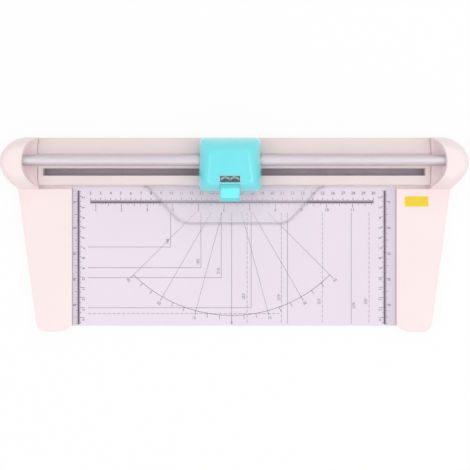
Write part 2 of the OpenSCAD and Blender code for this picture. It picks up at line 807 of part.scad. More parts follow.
// Side view of the arch, as Y and Z: deck, slope behind the sleeve, rear wall
module arch_section() {
    bend_y = rail_y + runner_r / 3;
    bend_z = rail_z + press_travel + runner_r / 2;
    polygon([
        [carrier_front_y, carrier_z], [bend_y, carrier_z],
        [bar_y - carrier_wall / 4, bend_z], [bar_y, bar_top_z],
        [bar_y, wall_z - carrier_wall / 2], [bar_y + carrier_wall, wall_z - carrier_wall / 2],
        [bar_y + carrier_wall, bar_top_z], [bar_y + carrier_wall / 2, bend_z + carrier_wall / 2],
        [bend_y + carrier_wall / 3, carrier_z + carrier_wall],
        [carrier_front_y, carrier_z + carrier_wall]
    ]);
}

module head_carrier() {
    deck_rear_y = rail_y - runner_r + carrier_wall;
    cheek_d = rail_y - runner_r - slide_gap - carrier_front_y;
    front_half = carrier_half - deck_corner;
    color([0.9, 0.91, 0.92]) difference() {
        union() {
            translate([head_x - arch_half, 0, 0]) along_x(2 * arch_half) arch_section();
            // deck over the arms, on the lift springs
            translate([head_x, 0, carrier_z]) linear_extrude(carrier_wall) polygon([
                [-front_half, carrier_front_y], [front_half, carrier_front_y],
                [carrier_half, carrier_front_y + deck_corner], [carrier_half, deck_rear_y],
                [-carrier_half, deck_rear_y], [-carrier_half, carrier_front_y + deck_corner]
            ]);
            // front wall
            translate([head_x - front_half, carrier_front_y, wall_z])
                cube([2 * front_half, carrier_wall, carrier_z - wall_z + carrier_wall]);
            // cheeks that hold the cartridge
            for (x = [-cartridge_w / 2 - seat_gap - carrier_wall, cartridge_w / 2 + seat_gap])
                translate([head_x + x, carrier_front_y, wall_z])
                    cube([carrier_wall, cheek_d, carrier_z - wall_z + carrier_wall / 2]);
            // lugs of the cover's hinge
            for (x = [-arch_half, lug_x]) translate([head_x + x, 0, 0]) along_x(carrier_wall) {
                translate([cover_pin_y, cover_pin_z]) circle(r = cover_pin_r, $fn = medium);
                translate([bar_y + carrier_wall / 2, cover_pin_z - cover_pin_r])
                    square([cover_pin_y - bar_y - carrier_wall / 2, 2 * cover_pin_r]);
            }
            // ears of the release tab
            for (x = [-tab_w / 2 - slide_gap - carrier_wall, tab_w / 2 + slide_gap])
                translate([head_x + x, tab_pin_y - tab_pin_d, tab_pin_z - tab_pin_d])
                    cube([carrier_wall, carrier_front_y - tab_pin_y + tab_pin_d + carrier_wall / 2, 2 * tab_pin_d]);
        }
        at_pins() translate([0, 0, carrier_z - over])
            cylinder(r = pin_d / 2 + run_fit, h = carrier_wall + 2 * over, $fn = medium);
        translate([head_x - cover_pin_half, cover_pin_y, cover_pin_z]) rotate([0, 90, 0])
            cylinder(d = cover_pin_d, h = 2 * cover_pin_half, $fn = medium);
        translate([head_x - tab_pin_half, tab_pin_y, tab_pin_z]) rotate([0, 90, 0])
            cylinder(d = tab_pin_d, h = 2 * tab_pin_half, $fn = medium);
        // room for the axle's head
        translate([head_x, carrier_front_y - over, blade_z]) rotate([-90, 0, 0])
            cylinder(r = hub_r + carrier_wall, h = carrier_wall + 2 * over, $fn = medium);
    }
}

// Blade, hub and cartridge
blade_y = cut_y + blade_offset;
blade_z = deck_z + press_travel + run_fit + blade_d / 2;
hub_r = axle_d / 2 + hub_wall;
hub_half = hub_w / 2;
hub_flange_r = blade_d / 4;
hub_flange_t = hub_half - blade_t;
axle_head_h = cartridge_wall / 2;
rear_plate_y = rail_y - runner_r - slide_gap - cartridge_wall;
front_plate_y = carrier_front_y + carrier_wall + slide_gap;

module at_axle(y) {
    translate([head_x, y, blade_z]) rotate([-90, 0, 0]) children();
}

module rotary_blade() {
    bevel = blade_t;
    color([0.8, 0.8, 0.82]) at_axle(blade_y) difference() {
        rotate_extrude($fn = fine) polygon([
            [hub_r, 0], [blade_d / 2 - bevel, 0], [blade_d / 2, blade_t / 2],
            [blade_d / 2 - bevel, blade_t], [hub_r, blade_t]
        ]);
    }
}

module blade_hub() {
    color([0.2, 0.5, 0.6]) at_axle(blade_y) difference() {
        union() {
            translate([0, 0, -hub_half + blade_t]) cylinder(r = hub_r, h = 2 * hub_half - blade_t, $fn = fine);
            translate([0, 0, blade_t]) cylinder(r = hub_flange_r, h = hub_flange_t, $fn = fine);
        }
        translate([0, 0, -hub_half - over])
            cylinder(r = axle_d / 2 + run_fit, h = 2 * hub_half + 2 * over, $fn = fine);
    }
}

module blade_axle() {
    color([0.7, 0.7, 0.73]) at_axle(front_plate_y - axle_head_h) {
        cylinder(r = hub_r, h = axle_head_h, $fn = fine);
        cylinder(r = axle_d / 2, h = rear_plate_y + cartridge_wall - front_plate_y + axle_head_h, $fn = fine);
    }
}

hub_front_y = blade_y + blade_t - hub_half;
hub_rear_y = blade_y + hub_half;

module blade_washers() {
    front_gap = hub_front_y - run_fit - front_plate_y - cartridge_wall;
    rear_gap = rear_plate_y - hub_rear_y - run_fit;
    color([0.75, 0.75, 0.6]) {
        at_axle(front_plate_y + cartridge_wall) washer(front_gap);
        at_axle(hub_rear_y + run_fit) washer(rear_gap);
    }
}

module washer(t) {
    difference() {
        cylinder(r = hub_r, h = t, $fn = fine);
        translate([0, 0, -over]) cylinder(r = axle_d / 2, h = t + 2 * over, $fn = fine);
    }
}

cartridge_top_z = carrier_z - seat_gap;
cartridge_front_z = beam_z + strip_h + press_travel + slide_gap;
cartridge_rear_z = blade_z - hub_flange_r;

module blade_cartridge() {
    low = cartridge_rear_z;
    color([0.25, 0.27, 0.3]) difference() {
        union() {
            translate([head_x - cartridge_w / 2, rear_plate_y, low])
                cube([cartridge_w, cartridge_wall, cartridge_top_z - low]);
            translate([head_x - cartridge_w / 2, front_plate_y, cartridge_top_z - cartridge_wall])
                cube([cartridge_w, rear_plate_y - front_plate_y, cartridge_wall]);
        }
        at_axle(front_plate_y)
            cylinder(r = axle_d / 2, h = rear_plate_y - front_plate_y + cartridge_wall + over, $fn = fine);
    }
}

module cartridge_cap() {
    low = cartridge_front_z;
    color([0.25, 0.27, 0.3]) difference() {
        translate([head_x - cartridge_w / 2, front_plate_y, low])
            cube([cartridge_w, cartridge_wall, cartridge_top_z - cartridge_wall - low]);
        at_axle(front_plate_y - over)
            cylinder(r = axle_d / 2, h = cartridge_wall + 2 * over, $fn = fine);
    }
}

// Shell of the head, lofted through rounded rings that taper to the rear, up to a thumb pad.
// Each ring: share of the height, then how far its front and rear lie inside the lowest ring
// as shares of the head's depth, how far its sides do at the front and at the rear as shares
// of the half width, and its corner as a share of the width
cover_ring_shares = [
    [0.00, 0.000, 0.000, 0.000, 0.000, 0.100], [0.18, 0.003, 0.010, 0.000, 0.006, 0.100],
    [0.36, 0.012, 0.034, 0.006, 0.020, 0.102], [0.52, 0.026, 0.066, 0.018, 0.045, 0.105],
    [0.66, 0.045, 0.106, 0.046, 0.092, 0.108], [0.78, 0.065, 0.150, 0.094, 0.156, 0.110],
    [0.87, 0.085, 0.190, 0.154, 0.228, 0.108], [0.94, 0.106, 0.228, 0.222, 0.304, 0.102],
    [0.98, 0.124, 0.260, 0.290, 0.376, 0.092], [1.00, 0.144, 0.292, 0.358, 0.450, 0.078]
];
ring_steps = 8;
head_h = head_top_h - skirt_h;

function corner_points(x, y, r, from, z) =
    [for (i = [0:ring_steps]) let (a = from + 90 * i / ring_steps) [x + r * cos(a), y + r * sin(a), z]];

function rounded_ring(front, rear, front_half, rear_half, r, z) = concat(
    corner_points(rear_half - r, rear - r, r, 0, z),
    corner_points(r - rear_half, rear - r, r, 90, z),
    corner_points(r - front_half, front + r, r, 180, z),
    corner_points(front_half - r, front + r, r, 270, z));

// The head's outer form, drawn in by the inset, from below its lower edge if inset
module head_form(inset) {
    rings = [for (s = cover_ring_shares)
        rounded_ring(
            head_front_y + s[1] * head_d + inset,
            head_rear_y - s[2] * head_d - inset,
            head_w / 2 * (1 - s[3]) - inset,
            head_w / 2 * (1 - s[4]) - inset,
            s[5] * head_w - inset / 2,
            skirt_z + s[0] * (head_h - inset) - (inset > 0 && s[0] == 0 ? over : 0))];
    translate([head_x, 0, 0]) loft(rings);
}

window_y = head_front_y + window_setback;
window_z = deck_z + head_top_h - window_t - seat_gap;
ear_x = arch_half + slide_gap;
cover_pin_half = ear_x + cover_wall;

// Way for the rail through both sides of the cover, open below so that the cover can swing up
module rail_way() {
    way_r = rail_d / 2 + rail_room;
    way_y = rail_y + slide_gap;
    translate([head_x - head_w, way_y, rail_z + press_travel]) rotate([0, 90, 0])
        cylinder(r = way_r, h = 2 * head_w, $fn = fine);
    translate([head_x - head_w, way_y - way_r, skirt_z - 2 * over])
        cube([2 * head_w, 2 * way_r, rail_z + press_travel - skirt_z + 2 * over]);
}

module head_cover() {
    color([0.42, 0.88, 0.93]) difference() {
        union() {
            difference() {
                head_form(0);
                head_form(cover_wall);
            }
            // ears on the hinge pin, outside the carrier's lugs
            intersection() {
                head_form(cover_wall / 2);
                for (x = [-cover_pin_half, ear_x])
                    translate([head_x + x, 0, 0]) along_x(cover_wall) {
                        translate([cover_pin_y, cover_pin_z]) circle(r = cover_pin_r, $fn = medium);
                        translate([cover_pin_y, cover_pin_z - cover_pin_r])
                            square([head_rear_y - cover_pin_y, 2 * cover_pin_r]);
                    }
            }
        }
        translate([head_x - cover_pin_half - over, cover_pin_y, cover_pin_z]) rotate([0, 90, 0])
            cylinder(r = cover_pin_d / 2 + run_fit, h = 2 * (cover_pin_half + over), $fn = medium);
        rail_way();
        // notch for the tab, open below and above
        translate([head_x - tab_w / 2 - slide_gap, head_front_y - over, skirt_z - 2 * over])
            cube([tab_w + 2 * slide_gap, window_setback - notch_wall + over, head_h + 4 * over]);
        // seat of the window plate
        translate([head_x - window_w / 2 - seat_gap, window_y - seat_gap, window_z])
            cube([window_w + 2 * seat_gap, window_d + 2 * seat_gap, head_h]);
    }
}

module window_plate() {
    color([0.2, 0.3, 0.33]) translate([head_x - window_w / 2, window_y, window_z])
        cube([window_w, window_d, window_t]);
}

module cover_pin() {
    color([0.7, 0.7, 0.73])
        translate([head_x - cover_pin_half, cover_pin_y, cover_pin_z]) rotate([0, 90, 0])
            cylinder(d = cover_pin_d, h = 2 * cover_pin_half, $fn = medium);
}

// Release tab: a thumb lip at the top, a plate in the cover's notch and two knuckles on a pin
tab_top_z = deck_z + head_top_h - tab_top_drop;
thumb_z = tab_top_z - lip_drop;
tab_pin_z = rail_z;
tab_pin_y = carrier_front_y - tab_pin_d;
tab_pin_half = tab_w / 2 + slide_gap + carrier_wall;
knuckle_r = tab_pin_d / 2 + carrier_wall / 3;
tab_coil_d = tab_pin_d + 2 * seat_gap + 2 * tab_wire_d;
tab_coil_room_r = tab_coil_d / 2 + slide_gap;

module tab_section() {
    back = head_front_y + tab_setback;
    tip = head_front_y - tab_reach;
    rear = window_y - notch_wall - slide_gap;
    foot_z = skirt_z + tab_foot_rise;
    polygon([
        [rear, tab_top_z], [head_front_y + tab_setback / 2, tab_top_z - lip_drop / 4],
        [tip + lip_t / 2, thumb_z], [tip + lip_t / 8, thumb_z - lip_t / 4], [tip, thumb_z - lip_t / 2],
        [tip + lip_t / 8, thumb_z - 3 * lip_t / 4], [tip + lip_t / 2, thumb_z - lip_t],
        [head_front_y + tab_lean, thumb_z - lip_t], [head_front_y + tab_lean / 2, rail_z + rail_d / 2],
        [head_front_y, rail_z - rail_d / 2], [head_front_y, foot_z],
        [back - tab_t, foot_z], [back + tab_t, rail_z - rail_d / 2],
        [back + tab_t, thumb_z - lip_t], [rear, thumb_z - lip_t / 2]
    ]);
}

module release_tab() {
    web_y = head_front_y + tab_setback + tab_t / 2;
    color([0.4, 0.9, 0.95]) difference() {
        union() {
            translate([head_x - tab_w / 2, 0, 0]) along_x(tab_w) tab_section();
            for (x = [-tab_w / 2, tab_w / 2 - knuckle_w])
                translate([head_x + x, 0, 0]) along_x(knuckle_w) {
                    translate([tab_pin_y, tab_pin_z]) circle(r = knuckle_r, $fn = medium);
                    translate([web_y, tab_pin_z - knuckle_r])
                        square([tab_pin_y - web_y, 2 * knuckle_r]);
                }
        }
        translate([head_x - tab_w, tab_pin_y, tab_pin_z]) rotate([0, 90, 0])
            cylinder(r = tab_pin_d / 2 + run_fit, h = 2 * tab_w, $fn = medium);
        // Room for the spring between the knuckles
        translate([head_x - tab_w / 2 + knuckle_w, tab_pin_y, tab_pin_z]) rotate([0, 90, 0])
            cylinder(r = tab_coil_room_r, h = tab_w - 2 * knuckle_w, $fn = medium);
    }
}

module tab_pin() {
    color([0.7, 0.7, 0.73]) translate([head_x - tab_pin_half, tab_pin_y, tab_pin_z]) rotate([0, 90, 0])
        cylinder(d = tab_pin_d, h = 2 * tab_pin_half, $fn = medium);
}

module tab_spring() {
    length = tab_w - 2 * knuckle_w - 2 * slide_gap;
    color([0.6, 0.6, 0.63]) translate([head_x - length / 2, tab_pin_y, tab_pin_z]) rotate([0, 90, 0])
        coil(tab_coil_d, tab_wire_d, tab_spring_turns, length);
}

base_tray();
board_panel();
cutting_mat();
left_wing();
right_wing();
left_end_housing();
right_end_housing();
guide_rail();
left_rail_socket();
right_rail_socket();
left_clamp_post();
right_clamp_post();
left_clamp_spring();
right_clamp_spring();
base_screws();
front_left_foot();
front_middle_foot();
front_right_foot();
rear_left_foot();
rear_middle_foot();
rear_right_foot();
clamp_beam();
grip_strip();
clear_plate();
plate_screws();
runner_block();
left_rail_bush();
right_rail_bush();
lift_pins();
lift_springs();
head_carrier();
blade_cartridge();
cartridge_cap();
blade_axle();
blade_washers();
rotary_blade();
blade_hub();
head_cover();
window_plate();
cover_pin();
release_tab();
tab_pin();
tab_spring();
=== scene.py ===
import bpy
import bmesh
import json
import math
from mathutils import Matrix, Vector


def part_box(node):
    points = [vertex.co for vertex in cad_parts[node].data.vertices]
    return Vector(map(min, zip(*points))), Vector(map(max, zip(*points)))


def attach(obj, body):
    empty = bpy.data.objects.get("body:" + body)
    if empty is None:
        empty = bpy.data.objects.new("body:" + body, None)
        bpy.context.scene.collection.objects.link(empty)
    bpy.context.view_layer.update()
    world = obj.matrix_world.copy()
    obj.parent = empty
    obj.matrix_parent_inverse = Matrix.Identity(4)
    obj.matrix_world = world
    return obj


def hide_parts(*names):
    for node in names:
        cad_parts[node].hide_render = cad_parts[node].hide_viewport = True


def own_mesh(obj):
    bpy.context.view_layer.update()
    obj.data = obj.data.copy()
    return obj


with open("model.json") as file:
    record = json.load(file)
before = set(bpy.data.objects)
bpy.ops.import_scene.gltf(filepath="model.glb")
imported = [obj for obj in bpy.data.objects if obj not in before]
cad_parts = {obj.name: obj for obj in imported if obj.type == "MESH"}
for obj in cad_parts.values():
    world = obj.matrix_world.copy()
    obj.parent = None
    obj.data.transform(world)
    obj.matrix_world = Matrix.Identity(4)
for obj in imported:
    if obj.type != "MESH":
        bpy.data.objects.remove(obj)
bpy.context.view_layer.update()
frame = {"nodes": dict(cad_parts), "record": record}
nodes = frame["nodes"]
mm = 0.001
print("paper trimmer: loaded", len(nodes), "solids")

# The picture was taken from straight above, a little over a metre from the board
cameraPlace = {
    "x": 0.8, "y": -0.3, "boardLevel": 12, "distance": 1100, "pixelsPerMm": 1.01, "picture": 470,
    "farthest": 30,
}


def makeCamera(place):
    lens = bpy.data.cameras.new("photoCamera")
    camera = bpy.data.objects.new("photoCamera", lens)
    bpy.context.scene.collection.objects.link(camera)
    camera.location = (place["x"] * mm, place["y"] * mm, (place["boardLevel"] + place["distance"]) * mm)
    half = place["picture"] / 2 / place["pixelsPerMm"]
    lens.angle = 2 * math.atan(half / place["distance"])
    lens.clip_end = place["farthest"]
    bpy.context.scene.camera = camera


makeCamera(cameraPlace)

# Light: a pale room that is brightest overhead, and a floor that looks white. In metres
studio = {
    "roomLow": 0.68, "roomHigh": 0.74, "roomColor": (1.0, 0.985, 0.985),
    "floorColor": (0.93, 0.93, 0.93), "floorGlow": 0.88, "floorReach": 8, "floorDrop": 0.0001,
}

# Wide panels high up on all four sides, and two narrow ones for the streaks on the head
panelAim = (0, 0.02, 0.01)
panels = {
    "leftPanel": {"place": (-1.0, -0.18, 1.4), "size": (1.0, 1.0), "power": 3.6, "color": (1.0, 0.985, 0.98)},
    "rightPanel": {"place": (1.0, -0.18, 1.4), "size": (1.0, 1.0), "power": 4.9, "color": (1.0, 0.985, 0.98)},
    "rearPanel": {"place": (0.4, 1.1, 1.3), "size": (1.0, 1.0), "power": 1.7, "color": (0.95, 0.98, 1.0)},
    "frontPanel": {"place": (-0.2, -1.2, 1.3), "size": (1.0, 1.0), "power": 1.9,
                   "color": (1.0, 0.985, 0.985)},
    "leftGleam": {"place": (-1.0, 0.15, 1.4), "size": (0.03, 0.3), "power": 0.6, "color": (1.0, 1.0, 1.0)},
    "rightGleam": {"place": (1.0, 0.17, 1.4), "size": (0.03, 0.3), "power": 0.6, "color": (1.0, 1.0, 1.0)},
}


def spreadOn(tree, value, low, high):
    spread = tree.nodes.new("ShaderNodeMapRange")
    spread.inputs["To Min"].default_value = low
    spread.inputs["To Max"].default_value = high
    tree.links.new(value, spread.inputs["Value"])
    return spread.outputs[0]


def rayMask(tree):
    # 1 for rays that the eye, a gloss or a glass sends, 0 for the rest
    path = tree.nodes.new("ShaderNodeLightPath")
    total = None
    for name in ("Is Camera Ray", "Is Glossy Ray", "Is Transmission Ray"):
        if total is None:
            total = path.outputs[name]
            continue
        join = tree.nodes.new("ShaderNodeMath")
        join.operation = "MAXIMUM"
        tree.links.new(total, join.inputs[0])
        tree.links.new(path.outputs[name], join.inputs[1])
        total = join.outputs[0]
    return total


def makeRoom(look):
    world = bpy.data.worlds.new("paleRoom")
    bpy.context.scene.world = world
    world.use_nodes = True
    tree = world.node_tree
    tree.nodes.clear()
    out = tree.nodes.new("ShaderNodeOutputWorld")
    mix = tree.nodes.new("ShaderNodeMixShader")
    room = tree.nodes.new("ShaderNodeBackground")
    room.inputs["Color"].default_value = (*look["roomColor"], 1)
    coords = tree.nodes.new("ShaderNodeTexCoord")
    parts = tree.nodes.new("ShaderNodeSeparateXYZ")
    tree.links.new(coords.outputs["Generated"], parts.inputs[0])
    strength = spreadOn(tree, parts.outputs["Z"], look["roomLow"], look["roomHigh"])
    tree.links.new(strength, room.inputs["Strength"])
    white = tree.nodes.new("ShaderNodeBackground")
    white.inputs["Color"].default_value = (1, 1, 1, 1)
    white.inputs["Strength"].default_value = 1
    tree.links.new(rayMask(tree), mix.inputs[0])
    tree.links.new(room.outputs[0], mix.inputs[1])
    tree.links.new(white.outputs[0], mix.inputs[2])
    tree.links.new(mix.outputs[0], out.inputs[0])


def makePanel(name, look):
    lamp = bpy.data.lights.new(name, "AREA")
    lamp.shape = "RECTANGLE"
    lamp.size, lamp.size_y = look["size"]
    lamp.energy = look["power"]
    lamp.color = look["color"]
    panel = bpy.data.objects.new(name, lamp)
    panel.location = look["place"]
    aim = Vector(panelAim) - Vector(look["place"])
    panel.rotation_euler = aim.to_track_quat("-Z", "Y").to_euler()
    bpy.context.scene.collection.objects.link(panel)


def makeFloor(look):
    mesh = bpy.data.meshes.new("paleFloor")
    reach, level = look["floorReach"], -look["floorDrop"]
    square = ((-reach, -reach), (reach, -reach), (reach, reach), (-reach, reach))
    mesh.from_pydata([(x, y, level) for x, y in square], [], [(0, 1, 2, 3)])
    floor = bpy.data.objects.new("paleFloor", mesh)
    bpy.context.scene.collection.objects.link(floor)
    material = bpy.data.materials.new("paleFloor")
    material.use_nodes = True
    tree = material.node_tree
    tree.nodes.clear()
    out = tree.nodes.new("ShaderNodeOutputMaterial")
    mix = tree.nodes.new("ShaderNodeMixShader")
    matt = tree.nodes.new("ShaderNodeBsdfDiffuse")
    matt.inputs["Color"].default_value = (*look["floorColor"], 1)
    glow = tree.nodes.new("ShaderNodeEmission")
    glow.inputs["Strength"].default_value = 1
    share = tree.nodes.new("ShaderNodeMath")
    share.operation = "MULTIPLY"
    share.inputs[1].default_value = look["floorGlow"]
    tree.links.new(rayMask(tree), share.inputs[0])
    tree.links.new(share.outputs[0], mix.inputs[0])
    tree.links.new(matt.outputs[0], mix.inputs[1])
    tree.links.new(glow.outputs[0], mix.inputs[2])
    tree.links.new(mix.outputs[0], out.inputs[0])
    mesh.materials.append(material)


makeRoom(studio)
for name, look in panels.items():
    makePanel(name, look)
makeFloor(studio)
bpy.context.scene.view_settings.view_transform = "Standard"
print("paper trimmer: room, lamps and floor")

# Finishes. Sizes are in millimetres: cloud is the size of the faint colour patches,
# grain that of the moulded or ground texture, depth how deep the grain is
finishes = {
    "creamShell": {"color": (0.935, 0.815, 0.81), "to": (0.915, 0.79, 0.785), "cloud": 60, "rough": 0.42,
                   "roughTo": 0.5, "grain": 0.45, "depth": 0.012},
    "creamBeam": {"color": (0.85, 0.735, 0.735), "to": (0.83, 0.715, 0.71), "cloud": 45, "rough": 0.4,
                  "roughTo": 0.48, "grain": 0.45, "depth": 0.012},
    "boardSheet": {"color": (0.815, 0.735, 0.825), "to": (0.79, 0.71, 0.795), "cloud": 90, "rough": 0.46,
                   "roughTo": 0.54, "grain": 0.3, "depth": 0.006},
    "cuttingMat": {"color": (0.44, 0.38, 0.45), "to": (0.39, 0.335, 0.395), "cloud": 14, "rough": 0.7,
                   "roughTo": 0.85, "grain": 0.25, "depth": 0.02},
    "turquoiseShell": {"color": (0.15, 0.79, 0.85), "to": (0.135, 0.765, 0.825), "cloud": 22, "rough": 0.3,
                       "roughTo": 0.36, "grain": 0.35, "depth": 0.004, "coat": 0.9},
    # painted shade: a darker copy of the turquoise for the release lever's sloped root and rim
    "shadedTurquoiseLever": {"color": (0.12, 0.66, 0.71), "to": (0.11, 0.64, 0.69), "cloud": 12, "rough": 0.34,
                       "roughTo": 0.4, "grain": 0.35, "depth": 0.004, "coat": 0.6},
    # painted highlight: a lighter copy of the turquoise for the thumb pad's lit face
    "litTurquoisePad": {"color": (0.17, 0.90, 0.96), "to": (0.16, 0.88, 0.94), "cloud": 12, "rough": 0.34,
                     "roughTo": 0.4, "grain": 0.35, "depth": 0.004, "coat": 0.6},
    "darkWindow": {"color": (0.025, 0.085, 0.085), "to": (0.04, 0.12, 0.115), "cloud": 4, "rough": 0.2,
                   "roughTo": 0.26, "grain": 0.4, "depth": 0.002, "coat": 0.4},
    "whiteNylon": {"color": (0.80, 0.81, 0.83), "to": (0.76, 0.77, 0.79), "cloud": 8, "rough": 0.5,
                   "roughTo": 0.6, "grain": 0.3, "depth": 0.01},
    "darkNylon": {"color": (0.07, 0.08, 0.09), "to": (0.095, 0.105, 0.115), "cloud": 6, "rough": 0.48,
                  "roughTo": 0.6, "grain": 0.3, "depth": 0.012},
    "blackRubber": {"color": (0.03, 0.03, 0.03), "to": (0.05, 0.048, 0.047), "cloud": 5, "rough": 0.75,
                    "roughTo": 0.9, "grain": 0.2, "depth": 0.02},
    "groundSteel": {"color": (0.56, 0.56, 0.58), "to": (0.50, 0.50, 0.52), "cloud": 5, "rough": 0.28,
                    "roughTo": 0.4, "grain": 0.2, "depth": 0.004, "metal": 1},
    "honedBlade": {"color": (0.66, 0.66, 0.68), "to": (0.60, 0.60, 0.63), "cloud": 7, "rough": 0.18,
                   "roughTo": 0.3, "grain": 0.15, "depth": 0.003, "metal": 1},
    "printInk": {"color": (0.045, 0.03, 0.05), "to": (0.07, 0.05, 0.075), "cloud": 3, "rough": 0.6,
                 "roughTo": 0.7, "grain": 0.2, "depth": 0.001},
    "fineInk": {"color": (0.11, 0.08, 0.12), "to": (0.165, 0.125, 0.18), "cloud": 4, "rough": 0.6,
                "roughTo": 0.7, "grain": 0.2, "depth": 0.001},
    "rulerStrip": {"color": (0.70, 0.64, 0.715), "to": (0.67, 0.61, 0.68), "cloud": 30, "rough": 0.5,
                   "roughTo": 0.58, "grain": 0.3, "depth": 0.004},
    "labelYellow": {"color": (0.88, 0.65, 0.012), "to": (0.86, 0.625, 0.01), "cloud": 9, "rough": 0.38,
                    "roughTo": 0.45, "grain": 0.5, "depth": 0.004},
    # painted highlight: pale colour for the light on the window frame's bevel
    "paintedFrameHighlight": {"color": (0.56, 0.82, 0.86), "to": (0.46, 0.72, 0.76), "cloud": 3, "rough": 0.3,
                    "roughTo": 0.4, "grain": 0.2, "depth": 0.002},
    "signSilver": {"color": (0.34, 0.43, 0.45), "to": (0.27, 0.36, 0.38), "cloud": 2, "rough": 0.35,
                   "roughTo": 0.45, "grain": 0.2, "depth": 0.001},
}


# What all moulded finishes share: where the two colours begin, and a coat's roughness
texture = {"from": 0.35, "to": 0.75, "cloudDetail": 3.0, "roughDetail": 2.0, "grainDetail": 1.0,
           "roughShare": 0.25, "coatRough": 0.08}


def startMaterial(name):
    material = bpy.data.materials.new(name)
    material.use_nodes = True
    tree = material.node_tree
    coords = tree.nodes.new("ShaderNodeTexCoord").outputs["Object"]
    return material, tree, tree.nodes["Principled BSDF"], coords


def noiseOn(tree, coords, size, detail):
    noise = tree.nodes.new("ShaderNodeTexNoise")
    noise.inputs["Scale"].default_value = 1 / (size * mm)
    noise.inputs["Detail"].default_value = detail
    tree.links.new(coords, noise.inputs["Vector"])
    return noise.outputs[0]


def rampOn(tree, value, places, colors):
    ramp = tree.nodes.new("ShaderNodeValToRGB")
    for stop, place, color in zip(ramp.color_ramp.elements, places, colors):
        stop.position = place
        stop.color = (*color, 1)
    tree.links.new(value, ramp.inputs[0])
    return ramp.outputs[0]


def bumpOn(tree, value, depth):
    bump = tree.nodes.new("ShaderNodeBump")
    bump.inputs["Distance"].default_value = depth * mm
    tree.links.new(value, bump.inputs["Height"])
    return bump.outputs[0]


def makeFinish(name, look):
    material, tree, shader, coords = startMaterial(name)
    clouds = noiseOn(tree, coords, look["cloud"], texture["cloudDetail"])
    patches = noiseOn(tree, coords, look["cloud"] * texture["roughShare"], texture["roughDetail"])
    grain = noiseOn(tree, coords, look["grain"], texture["grainDetail"])
    color = rampOn(tree, clouds, (texture["from"], texture["to"]), (look["color"], look["to"]))
    tree.links.new(color, shader.inputs["Base Color"])
    tree.links.new(spreadOn(tree, patches, look["rough"], look["roughTo"]), shader.inputs["Roughness"])
    tree.links.new(bumpOn(tree, grain, look["depth"]), shader.inputs["Normal"])
    shader.inputs["Metallic"].default_value = look.get("metal", 0)
    shader.inputs["Coat Weight"].default_value = look.get("coat", 0)
    shader.inputs["Coat Roughness"].default_value = texture["coatRough"]
    return material


materials = {name: makeFinish(name, look) for name, look in finishes.items()}

# Drawn aluminium tube: fine lines run along the rail
railLook = {
    "color": (0.63, 0.58, 0.62), "dark": (0.55, 0.50, 0.53), "from": 0.25, "to": 0.5,
    "line": 0.35, "lineDetail": 2.0, "stretch": (0.012, 1, 1), "rough": 0.5, "depth": 0.005,
}


def makeRailFinish(look):
    material, tree, shader, coords = startMaterial("drawnAluminium")
    stretch = tree.nodes.new("ShaderNodeMapping")
    stretch.inputs["Scale"].default_value = look["stretch"]
    tree.links.new(coords, stretch.inputs["Vector"])
    lines = noiseOn(tree, stretch.outputs[0], look["line"], look["lineDetail"])
    color = rampOn(tree, lines, (look["from"], look["to"]), (look["dark"], look["color"]))
    tree.links.new(color, shader.inputs["Base Color"])
    tree.links.new(bumpOn(tree, lines, look["depth"]), shader.inputs["Normal"])
    shader.inputs["Metallic"].default_value = 1
    shader.inputs["Roughness"].default_value = look["rough"]
    return material


materials["drawnAluminium"] = makeRailFinish(railLook)

# Clear plastic: a faint milky haze on each face, and along the thick rim a greyer one, which is painted shade
# for the dark look of the plate's edge
clearLooks = {
    "clearPlastic": {"color": (1.0, 0.965, 1.0), "alpha": 0.15, "cloud": 9, "rough": 0.16, "roughTo": 0.24},
    "shadedClearRim": {"color": (0.47, 0.46, 0.49), "alpha": 0.21, "cloud": 12, "rough": 0.2, "roughTo": 0.3},
}


def makeClearFinish(name, look):
    material, tree, shader, coords = startMaterial(name)
    haze = noiseOn(tree, coords, look["cloud"], texture["cloudDetail"])
    tree.links.new(spreadOn(tree, haze, look["rough"], look["roughTo"]), shader.inputs["Roughness"])
    shader.inputs["Base Color"].default_value = (*look["color"], 1)
    shader.inputs["Alpha"].default_value = look["alpha"]
    return material


for name, look in clearLooks.items():
    materials[name] = makeClearFinish(name, look)

finishOfSlot = {
    "cream_shell": "creamShell", "cream_beam": "creamBeam", "board": "boardSheet", "mat": "cuttingMat",
    "rail": "drawnAluminium", "turquoise": "turquoiseShell", "dark_window": "darkWindow",
    "clear_plastic": "clearPlastic", "white_nylon": "whiteNylon", "dark_nylon": "darkNylon",
    "steel": "groundSteel", "blade_steel": "honedBlade", "black_rubber": "blackRubber",
}
for subpart in frame["record"]["subparts"]:
    solid = nodes[subpart["node"]].data
    solid.materials.clear()
    solid.materials.append(materials[finishOfSlot[subpart["material_slot"]]])
# The release lever takes the darker turquoise copy, painted shade for its root and rim
nodes["release_tab"].data.materials[0] = materials["shadedTurquoiseLever"]
print("paper trimmer: finishes on every solid")

# Corners that the frame's file splits are joined again, and faces that meet at a low
# angle, in degrees, are shaded as one
shading = {"weld": 0.001, "angle": 38}


